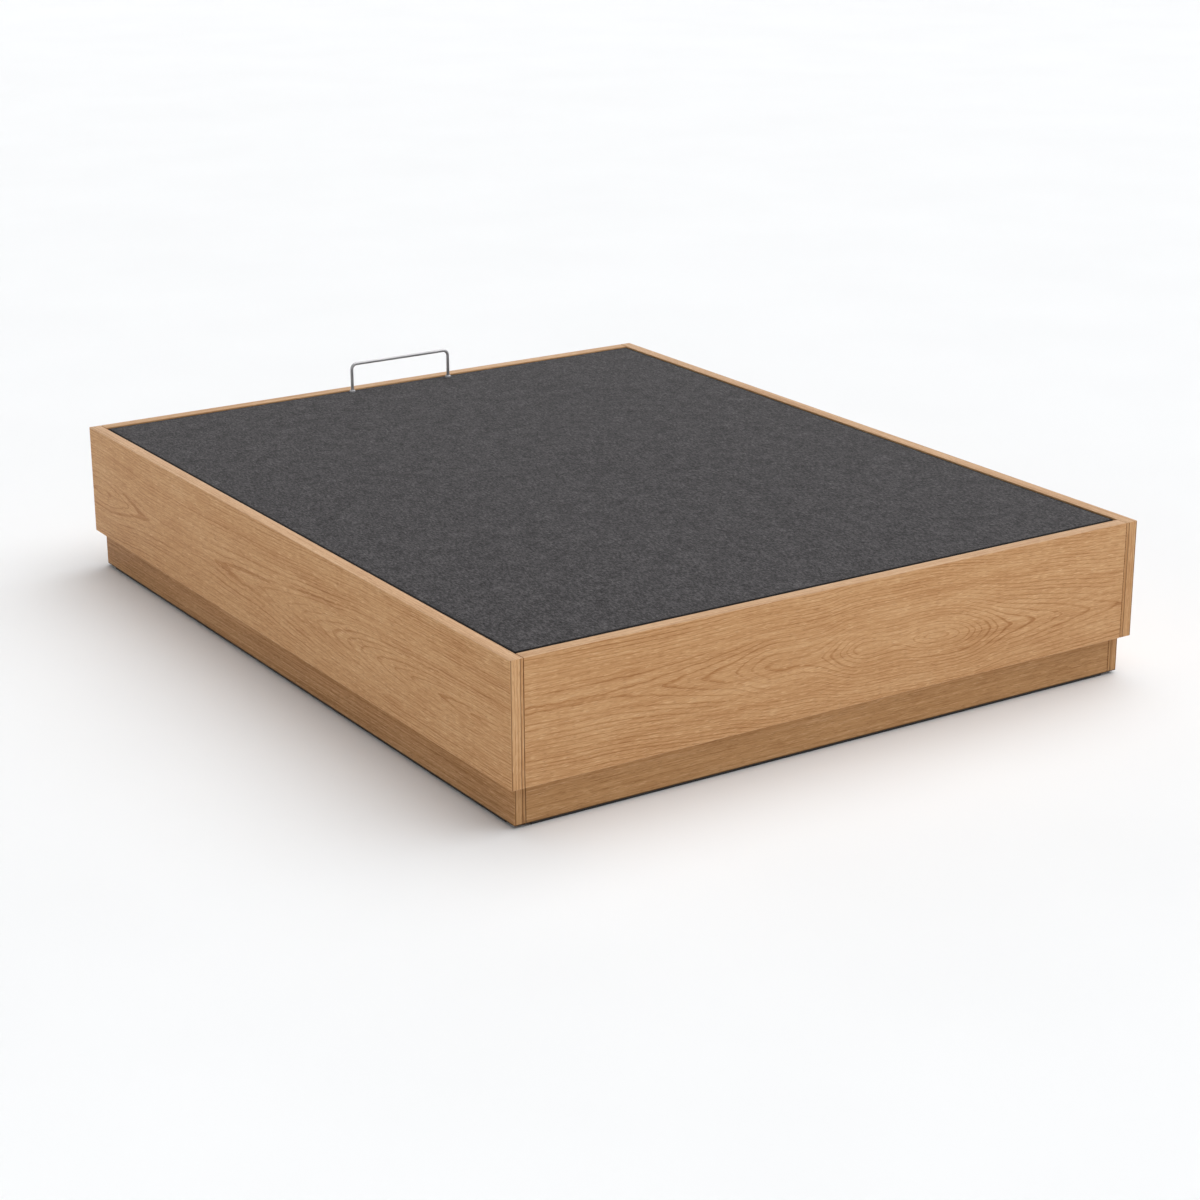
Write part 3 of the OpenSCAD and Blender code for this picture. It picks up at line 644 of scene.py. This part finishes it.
def turned(profile, steps=24):
    """A shape turned about +Z from points of radius and height."""
    mesh = bmesh.new()
    chain = [mesh.verts.new((radius, 0.0, height)) for radius, height in profile]
    links = [mesh.edges.new(pair) for pair in zip(chain, chain[1:])]
    bmesh.ops.spin(mesh, geom=chain + links, cent=(0, 0, 0), axis=(0, 0, 1), dvec=(0, 0, 0),
                   angle=math.tau, steps=steps, use_merge=True, use_duplicate=False)
    bmesh.ops.remove_doubles(mesh, verts=mesh.verts, dist=0.001 * MM)
    return mesh


def outward(shape):
    """The same shape with its faces turned outwards."""
    bmesh.ops.recalc_face_normals(shape, faces=shape.faces[:])
    return shape


def set_down(mesh, shape, places):
    """Adds a copy of a shape to a mesh at each place."""
    copy = bpy.data.meshes.new("copy")
    for place in places:
        shape.to_mesh(copy)
        copy.transform(place)
        mesh.from_mesh(copy)
    bpy.data.meshes.remove(copy)


def loose_solids(node):
    """The points of each separate solid of a node."""
    mesh = merged_copy(node)
    solids, seen = [], set()
    for first in mesh.verts:
        if first in seen:
            continue
        seen.add(first)
        grown = [first]
        for vert in grown:
            for edge in vert.link_edges:
                other = edge.other_vert(vert)
                if other not in seen:
                    seen.add(other)
                    grown.append(other)
        solids.append([vert.co.copy() for vert in grown])
    mesh.free()
    return solids


def corners(points):
    """The lowest and highest corners round some points."""
    low = Vector([min(point[axis] for point in points) for axis in range(3)])
    high = Vector([max(point[axis] for point in points) for axis in range(3)])
    return low, high


RIM_SHARE = 0.97  # of a fastener's widest reach, beyond which a point is on its head's rim


def under_heads(node):
    """For each fastener of a node, the place under its head with +Z out of the head."""
    places = []
    for points in loose_solids(node):
        low, high = corners(points)
        middle, size = (low + high) / 2, high - low
        along = max(range(3), key=lambda axis: size[axis])
        spots = []
        for point in points:
            off = point - middle
            off[along] = 0.0
            spots.append((off.length, point[along]))
        widest = max(reach for reach, at in spots)
        seats = [at for reach, at in spots if reach > RIM_SHARE * widest]
        side = 1.0 if sum(seats) / len(seats) > middle[along] else -1.0
        seat = middle.copy()
        seat[along] = min(seats) if side > 0 else max(seats)
        out = Vector()
        out[along] = side
        places.append(Matrix.Translation(seat) @ out.to_track_quat("Z", "Y").to_matrix().to_4x4())
    return places


# ---------- screws and bolts ----------

SCREW_HEAD = 5.0 * MM  # heads and shanks are given by their radius
SCREW_RISE = 2.2 * MM
SCREW_SHANK = 2.0 * MM
SCREW_LENGTH = 16.0 * MM
SCREW_DOME = (14, 30, 46, 58)  # degrees up the dome, from its rim to the rim of the recess
# Reach of a cross recess at each 15 degrees, repeated four times round
CROSS = (1.0, 1.0, 0.6, 0.42, 0.6, 1.0)
RECESS_REACH = 2.6 * MM
RECESS_DEPTH = 1.5 * MM
RECESS_RIM = 0.15 * MM
RECESS_TAPER = 0.55
BOLT_HEAD = 7.0 * MM
BOLT_RISE = 2.6 * MM
BOLT_RIM = 0.5 * MM


def cross_head_screw():
    """A pan-head screw with a cross recess pressed into its domed head."""
    dome = [(SCREW_HEAD * math.cos(turn), SCREW_RISE * math.sin(turn) ** 0.8)
            for turn in map(math.radians, SCREW_DOME)]
    mesh = turned([(0.0, -SCREW_LENGTH), (SCREW_SHANK, -SCREW_LENGTH + SCREW_SHANK),
                   (SCREW_SHANK, 0.0), (SCREW_HEAD, 0.0), *dome])
    crown = bmesh.ops.holes_fill(mesh, edges=boundary(mesh))["faces"]
    bmesh.ops.inset_region(mesh, faces=crown, thickness=RECESS_RIM)
    for vert in crown[0].verts:
        turn = math.degrees(math.atan2(vert.co.y, vert.co.x)) % 360
        reach = RECESS_REACH * CROSS[round(turn / 15) % 6]
        vert.co.x = reach * math.cos(math.radians(turn))
        vert.co.y = reach * math.sin(math.radians(turn))
        vert.co.z = SCREW_RISE
    floor = bmesh.ops.extrude_face_region(mesh, geom=crown)["geom"]
    bmesh.ops.delete(mesh, geom=crown, context="FACES_ONLY")
    sunk = [g for g in floor if isinstance(g, bmesh.types.BMVert)]
    bmesh.ops.scale(mesh, vec=(RECESS_TAPER, RECESS_TAPER, 1.0), verts=sunk)
    bmesh.ops.translate(mesh, vec=(0, 0, -RECESS_DEPTH), verts=sunk)
    return outward(mesh)


def cup_head_bolt():
    """A bolt with a smooth low dome, as bed frames have."""
    dome = [(BOLT_HEAD * math.cos(turn), BOLT_RIM + (BOLT_RISE - BOLT_RIM) * math.sin(turn))
            for turn in map(math.radians, range(0, 90, 15))]
    return outward(turned([(0.0, -SCREW_LENGTH), (SCREW_SHANK, -SCREW_LENGTH),
                           (SCREW_SHANK, 0.0), (BOLT_HEAD, 0.0), *dome, (0.0, BOLT_RISE)], 32))


def fasteners():
    """The screws and bolts, each seated where the head of the plain one sits."""
    screw, bolt = cross_head_screw(), cup_head_bolt()
    kinds = (("corner_screws", screw, "cross_head"), ("plate_screws", screw, "cross_head"),
             ("deck_screws", screw, "cross_head"), ("bracket_bolts", bolt, "cup_head"))
    for node, shape, kind in kinds:
        mesh = bmesh.new()
        set_down(mesh, shape, under_heads(node))
        stand_in(finished(mesh, f"{kind}_{node}", [FINISHES["zinc_steel"]], smooth=50.0),
                 node)


# ---------- gas springs ----------

# Radii of the spring's parts
GAS_BODY = 11.0 * MM
GAS_NECK = 5.0 * MM
GAS_NUT = 6.2 * MM
GAS_GROOVE = 10.3 * MM
GAS_ROD = 4.0 * MM
ROD_NUT = 5.5 * MM
CYLINDER_EYE = 11.0 * MM
CYLINDER_BORE = 5.05 * MM
ROD_EYE = 12.0 * MM
ROD_BORE = 8.0 * MM
# Lengths
CYLINDER_FOOT = 22.0 * MM  # where the tube begins, from the middle of its eye
EYE_THICK = 12.0 * MM  # across the spring
EYE_ROUND = 1.2 * MM
ROD_OUT = 32.0 * MM  # from the gland to the middle of the rod's eye, with the deck closed
ROD_INSIDE = 62.0 * MM


def end_eye(mesh, at, outer, bore):
    """A forged eye across the spring's line, its rims rounded."""
    half, soft = EYE_THICK / 2, EYE_ROUND
    ring = turned([(bore, soft / 2 - half), (bore + soft / 2, -half), (outer - soft, -half),
                   (outer - soft * 0.3, soft * 0.3 - half), (outer, soft - half),
                   (outer, half - soft), (outer - soft * 0.3, half - soft * 0.3),
                   (outer - soft, half), (bore + soft / 2, half), (bore, half - soft / 2),
                   (bore, soft / 2 - half)], 36)
    place = Matrix.Translation((0, 0, at)) @ Matrix.Rotation(math.radians(90), 4, "Y")
    set_down(mesh, outward(ring), [place])


def gas_line(side):
    """A spring's lower stud with +Z along the spring, and the length from stud to stud."""
    low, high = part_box(f"gas_arm_stud_{side}")
    lug = (low + high) / 2
    studs = [corners(points) for points in loose_solids("gas_base_studs")]
    low, high = min(studs, key=lambda box: abs(box[0].x - lug.x))
    base = (low + high) / 2
    low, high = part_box(f"gas_cylinder_{side}")
    base.x = lug.x = (low.x + high.x) / 2
    line = lug - base
    tilt = math.atan2(line.z, line.y) - math.radians(90)
    return Matrix.Translation(base) @ Matrix.Rotation(tilt, 4, "X"), line.length


def gas_cylinder(gland):
    """The black tube: eye, neck with its lock nut, drawn-in foot, groove and crimped gland."""
    mesh = bmesh.new()
    end_eye(mesh, 0.0, CYLINDER_EYE, CYLINDER_BORE)
    foot = CYLINDER_FOOT
    neck = [(0.0, foot - 13 * MM), (GAS_NECK, foot - 13 * MM), (GAS_NECK, foot - 4 * MM),
            (GAS_NUT, foot - 4 * MM), (GAS_NUT, foot - 1 * MM)]
    shoulder = [(GAS_BODY - 3.6 * MM, foot - 0.4 * MM), (GAS_BODY - 1.6 * MM, foot + 0.5 * MM),
                (GAS_BODY - 0.4 * MM, foot + 1.9 * MM), (GAS_BODY, foot + 3.6 * MM)]
    groove = [(GAS_BODY, gland - 15 * MM), (GAS_GROOVE, gland - 14 * MM),
              (GAS_GROOVE, gland - 12.6 * MM), (GAS_BODY, gland - 11.6 * MM)]
    crimp = [(GAS_BODY, gland - 3.2 * MM), (GAS_BODY - 0.5 * MM, gland - 1.5 * MM),
             (GAS_BODY - 1.8 * MM, gland - 0.3 * MM), (GAS_BODY - 3.4 * MM, gland),
             (GAS_BODY - 3.6 * MM, gland - 1 * MM)]
    mouth = [(GAS_ROD + 0.4 * MM, gland - 1 * MM), (GAS_ROD + 0.2 * MM, gland - 3 * MM),
             (0.0, gland - 3 * MM)]
    body = turned([*neck, *shoulder, *groove, *crimp, *mouth], 48)
    set_down(mesh, outward(body), [Matrix.Identity(4)])
    return mesh


def gas_rod(gland, length):
    """The polished rod, its lock nut with a groove, and the eye on the arm's stud."""
    mesh = bmesh.new()
    end_eye(mesh, length, ROD_EYE, ROD_BORE)
    tip = gland - ROD_INSIDE
    neck = length - ROD_EYE
    rod = turned([(0.0, tip), (GAS_ROD, tip), (GAS_ROD, neck - 8.2 * MM),
                  (ROD_NUT - 0.7 * MM, neck - 8 * MM), (ROD_NUT, neck - 7.4 * MM),
                  (ROD_NUT, neck - 3 * MM), (ROD_NUT - 0.4 * MM, neck - 2.4 * MM),
                  (ROD_NUT, neck - 1.8 * MM), (ROD_NUT, neck + 2 * MM),
                  (0.0, neck + 2 * MM)], 32)
    set_down(mesh, outward(rod), [Matrix.Identity(4)])
    return mesh


def gas_springs():
    """Both springs, each laid along the line between its two studs."""
    for side in ("left", "right"):
        place, length = gas_line(side)
        gland = length - ROD_OUT
        parts = (("crimped", "gas_cylinder", "black_paint", gas_cylinder(gland)),
                 ("polished", "gas_rod", "polished_rod", gas_rod(gland, length)))
        for look, part, finish, mesh in parts:
            bmesh.ops.transform(mesh, matrix=place, verts=mesh.verts)
            piece = finished(mesh, f"{look}_{part}_{side}", [FINISHES[finish]], smooth=50.0)
            stand_in(piece, f"{part}_{side}")


# ---------- felt cover ----------

COVER_THICK = 1.9 * MM
COVER_EDGE = 2.0 * MM
HEM_DROP = 1.9 * MM  # how far the turned-under felt hangs below the boards
HEM_WIDTH = 9.0 * MM
COLLAR_HOLE = 7.8 * MM
COLLAR_SIDES = 32
COLLAR_PATCH = 9.5 * MM  # half the square of felt round each collar hole


def collar_places():
    """The middles of the two collars, as x and y."""
    low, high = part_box("retainer_collars")
    radius = (high.y - low.y) / 2
    return [(low.x + radius, low.y + radius), (high.x - radius, low.y + radius)]


def boundary(mesh):
    """The open edges of a mesh."""
    return [e for e in mesh.edges if e.is_boundary]


def moved(mesh, made, shift):
    """Moves what an extrusion made, and gives back its edges."""
    verts = [g for g in made["geom"] if isinstance(g, bmesh.types.BMVert)]
    bmesh.ops.translate(mesh, vec=shift, verts=verts)
    return [g for g in made["geom"] if isinstance(g, bmesh.types.BMEdge)]


def collar_hole(mesh, x, y, top):
    """A round hole in the top of the felt, in a square patch of its own."""
    for axis, middle in ((X, x), (Y, y)):
        for side in (-1, 1):
            spot, facing = Vector((0, 0, top)), Vector()
            spot[axis], facing[axis] = middle + side * COLLAR_PATCH, 1.0
            bmesh.ops.bisect_plane(mesh, geom=mesh.verts[:] + mesh.edges[:] + mesh.faces[:],
                                   plane_co=spot, plane_no=facing)
    middle = Vector((x, y, top))
    patch = min(mesh.faces, key=lambda face: (face.calc_center_median() - middle).length)
    square = patch.edges[:]
    bmesh.ops.delete(mesh, geom=[patch], context="FACES_ONLY")
    bmesh.ops.subdivide_edges(mesh, edges=square, cuts=COLLAR_SIDES // 4 - 1)
    near = [e for e in boundary(mesh) if (e.verts[0].co - middle).length < 2 * COLLAR_PATCH]
    bmesh.ops.create_circle(mesh, segments=COLLAR_SIDES, radius=COLLAR_HOLE,
                            matrix=Matrix.Translation(middle))
    bmesh.ops.bridge_loops(mesh, edges=near + [e for e in mesh.edges if e.is_wire])


def felt_cover():
    """One piece of felt pulled over the deck boards and turned under their edges."""
    low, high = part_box("deck_cover")
    low.z -= HEM_DROP
    mesh = block(low, high)
    round_edges(mesh, list(mesh.edges), COVER_EDGE, 4)
    mesh.normal_update()
    under = min(mesh.faces, key=lambda face: face.calc_center_median().z)
    bmesh.ops.delete(mesh, geom=[under], context="FACES_ONLY")
    middle = (low + high) / 2
    turned_in = bmesh.ops.extrude_edge_only(mesh, edges=boundary(mesh))["geom"]
    for vert in (g for g in turned_in if isinstance(g, bmesh.types.BMVert)):
        for axis in (X, Y):
            inward = math.copysign(HEM_WIDTH - COVER_EDGE, middle[axis] - vert.co[axis])
            vert.co[axis] += inward
    for x, y in collar_places():
        collar_hole(mesh, x, y, high.z)
    piece = finished(outward(mesh), "felt_deck_cover", [FINISHES["deck_fabric"]])
    wall = piece.modifiers.new("felt_thickness", "SOLIDIFY")
    wall.thickness, wall.offset = COVER_THICK, -1.0
    stand_in(piece, "deck_cover")


# ---------- mattress retainer ----------

BAR_RADIUS = 4.0 * MM
BAR_BEND = 14.0 * MM
BAR_SIDES = 28
BEND_STEPS = 12
BAR_END = 0.6 * MM  # rounding of the rod's sawn ends


def rod_run(mesh, edges, *moves):
    """Carries a ring of edges along straight runs and round bends."""
    for move in moves:
        if isinstance(move, Vector):
            edges = moved(mesh, bmesh.ops.extrude_edge_only(mesh, edges=edges), move)
        else:
            centre, axis, degrees = move
            last = bmesh.ops.spin(mesh, geom=edges, cent=centre, axis=axis, dvec=(0, 0, 0),
                                  angle=math.radians(degrees), steps=BEND_STEPS, use_merge=False,
                                  use_duplicate=False)["geom_last"]
            edges = [g for g in last if isinstance(g, bmesh.types.BMEdge)]


def retainer():
    """The mattress retainer: one steel rod bent twice, on two collars."""
    low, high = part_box("retainer_bar")
    y, top = (low.y + high.y) / 2, high.z - BAR_RADIUS
    left, right = low.x + BAR_RADIUS, high.x - BAR_RADIUS
    bend_z = top - BAR_BEND
    mesh = bmesh.new()
    foot = bmesh.ops.create_circle(mesh, segments=BAR_SIDES, radius=BAR_RADIUS,
                                   matrix=Matrix.Translation((left, y, low.z)))["verts"]
    rod_run(mesh, list({e for v in foot for e in v.link_edges}),
            Vector((0, 0, bend_z - low.z)),
            (Vector((left + BAR_BEND, y, bend_z)), (0, 1, 0), 90),
            Vector((right - left - 2 * BAR_BEND, 0, 0)),
            (Vector((right - BAR_BEND, y, bend_z)), (0, 1, 0), 90),
            Vector((0, 0, low.z - bend_z)))
    bmesh.ops.holes_fill(mesh, edges=boundary(mesh))
    rims = [e for e in mesh.edges if e.calc_face_angle(0.0) > math.radians(70)]
    round_edges(mesh, rims, BAR_END, 2)
    stand_in(finished(outward(mesh), "bent_retainer_bar", [FINISHES["chromed_bar"]]),
             "retainer_bar")


# ---------- staples and welds ----------

STAPLE_STEP = 62.0 * MM
STAPLE_MARGIN = 50.0 * MM  # from the cover's corners to the first staples
STAPLE_INSET = HEM_WIDTH * 0.55
STAPLE_CROWN = Vector((10.0, 0.9, 0.5)) * MM
STAPLE_SUNK = STAPLE_CROWN.z * 0.4
STAPLE_ROUND = 0.2 * MM
BEAD_RADIUS = 2.0 * MM
BEAD_DIP = 0.84  # a bead's radius between two ripples, as a share
BEAD_RIPPLES = 13
BEAD_SHORT = 2.0 * MM  # how far a bead stops short of the tube's faces
BEAD_INSET = Vector((0.6, -0.3, 0.0)) * MM  # of its middle, from the corner of the cross tube


def spaced(low, high):
    """Even places for staples between two ends of an edge."""
    low, high = low + STAPLE_MARGIN, high - STAPLE_MARGIN
    count = round((high - low) / STAPLE_STEP)
    return [low + (high - low) * i / count for i in range(count + 1)]


def hem_staples():
    """Flat wire staples along the felt's turned-under edge."""
    low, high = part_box("deck_cover")
    height = low.z - HEM_DROP - STAPLE_SUNK
    half = STAPLE_CROWN / 2
    wire = block(-half, half)
    round_edges(wire, list(wire.edges), STAPLE_ROUND, 1)
    quarter = Matrix.Rotation(math.radians(90), 4, "Z")
    places = [Matrix.Translation((x, y, height))
              for y in (low.y + STAPLE_INSET, high.y - STAPLE_INSET)
              for x in spaced(low.x, high.x)]
    places += [Matrix.Translation((x, y, height)) @ quarter
               for x in (low.x + STAPLE_INSET, high.x - STAPLE_INSET)
               for y in spaced(low.y, high.y)]
    mesh = bmesh.new()
    set_down(mesh, outward(wire), places)
    piece = finished(mesh, "hem_staples", [FINISHES["zinc_steel"]])
    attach(piece, BODY_OF["deck_cover"])


def weld_beads():
    """Rippled beads in the upright corners where the cross tubes meet the side tubes."""
    low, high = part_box("deck_head_tube")
    run = high.z - low.z - 2 * BEAD_SHORT
    ripple = run / BEAD_RIPPLES
    rings = [(0.0, 0.0)]
    for i in range(BEAD_RIPPLES):
        rings += [(BEAD_RADIUS, ripple * (i + 0.5)), (BEAD_RADIUS * BEAD_DIP, ripple * (i + 0.9))]
    rings[-1] = (0.0, run)
    bead = outward(turned(rings, 10))
    mesh = bmesh.new()
    for node in ("deck_head_tube", "deck_foot_tube", "deck_cross_tube_head",
                 "deck_cross_tube_middle", "deck_cross_tube_foot"):
        low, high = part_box(node)
        set_down(mesh, bead, [Matrix.Translation((x, y, low.z + BEAD_SHORT))
                              for x in (low.x + BEAD_INSET.x, high.x - BEAD_INSET.x)
                              for y in (low.y + BEAD_INSET.y, high.y - BEAD_INSET.y)])
    piece = finished(mesh, "frame_weld_beads", [FINISHES["grey_paint"]], smooth=60.0)
    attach(piece, BODY_OF["deck_head_tube"])


# ---------- the whole bed ----------

# Nodes whose own shape stays, and the radius in millimetres of their outer edges
ROUNDED = {
    "deck_board_left": 2.0, "deck_board_right": 2.0,
    "deck_head_tube": 2.5, "deck_foot_tube": 2.5, "deck_cross_tube_head": 2.5,
    "deck_cross_tube_middle": 2.5, "deck_cross_tube_foot": 2.5,
    "deck_side_tube_left": 2.5, "deck_side_tube_right": 2.5,
    "head_ledge": 1.5, "foot_ledge": 1.5, "side_ledge_left": 1.5, "side_ledge_right": 1.5,
    "plinth_corner_blocks": 1.5, "cross_bearer_head": 0.6, "cross_bearer_foot": 0.6,
    "floor_board_left": 0.5, "floor_board_right": 0.5, "floor_joint_strip": 0.4,
    "base_plate_left": 0.8, "base_plate_right": 0.8,
    "rear_link_left": 0.8, "rear_link_right": 0.8,
    "main_arm_left": 0.8, "main_arm_right": 0.8,
    "deck_bracket_left": 0.8, "deck_bracket_right": 0.8,
    "corner_angles": 0.6, "ledge_pads": 0.5, "tube_caps": 0.7, "floor_glides": 0.6,
    "rear_link_pins": 0.6, "main_arm_pins": 0.6, "gas_base_studs": 0.5,
    "gas_arm_stud_left": 0.5, "gas_arm_stud_right": 0.5,
    "deck_link_pins": 0.6, "deck_arm_pins": 0.6,
    "retainer_collars": 0.35, "retainer_t_nuts": 0.3,
}

FINISHES = make_finishes()
camera()
studio()
box_walls()
felt_cover()
hem_staples()
retainer()
fasteners()
gas_springs()
weld_beads()
for node, radius in ROUNDED.items():
    rounded_copy(node, radius * MM)
